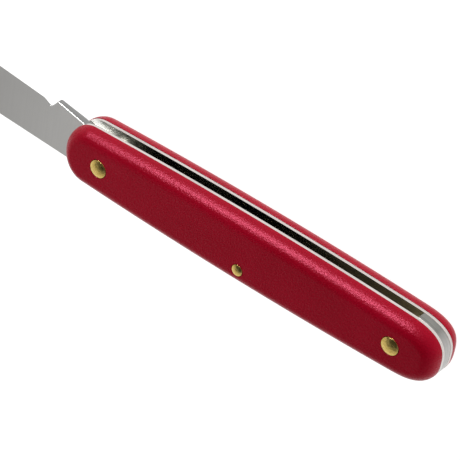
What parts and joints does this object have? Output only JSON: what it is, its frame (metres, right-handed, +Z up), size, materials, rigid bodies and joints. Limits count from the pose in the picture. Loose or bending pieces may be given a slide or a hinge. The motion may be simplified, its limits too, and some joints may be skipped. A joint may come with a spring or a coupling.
{
  "type": "grafting knife",
  "caption": "Folding grafting knife: a straight-edged blade with a flat front face, on a backspring, in a slim handle of riveted red plastic scales.",
  "frame": {"origin": "middle of the open knife's footprint, on the surface it lies on", "axes": "+X along the handle to the open blade's tip, +Y to the knife's back, where the spring is, +Z up out of the front scale"},
  "size_m": [0.1558, 0.0184, 0.0123],
  "materials": {
    "red_nylon": "fine-grained, semi-matt",
    "liner_aluminium": "bright, rolled",
    "spring_steel": "ground and lightly brushed",
    "blade_steel": "fine satin, stainless",
    "brass": "peened, lightly worn"
  },
  "bodies": {
    "handle": {"front_scale": "red_nylon", "back_scale": "red_nylon", "front_liner": "liner_aluminium", "back_liner": "liner_aluminium", "backspring": "spring_steel", "pivot_pin": "brass", "front_pivot_collar": "brass", "back_pivot_collar": "brass", "spring_pin": "brass", "front_spring_collar": "brass", "back_spring_collar": "brass", "end_pin": "brass", "front_end_collar": "brass", "back_end_collar": "brass"},
    "blade": {"blade": "blade_steel"}
  },
  "joints": [
    {"name": "blade_fold", "type": "hinge", "parent": "handle", "child": "blade", "pos_m": [0.01125, 0.00076, 0.00615], "axis": [0, 0, -1], "range_deg": [0, 172]}
  ]
}
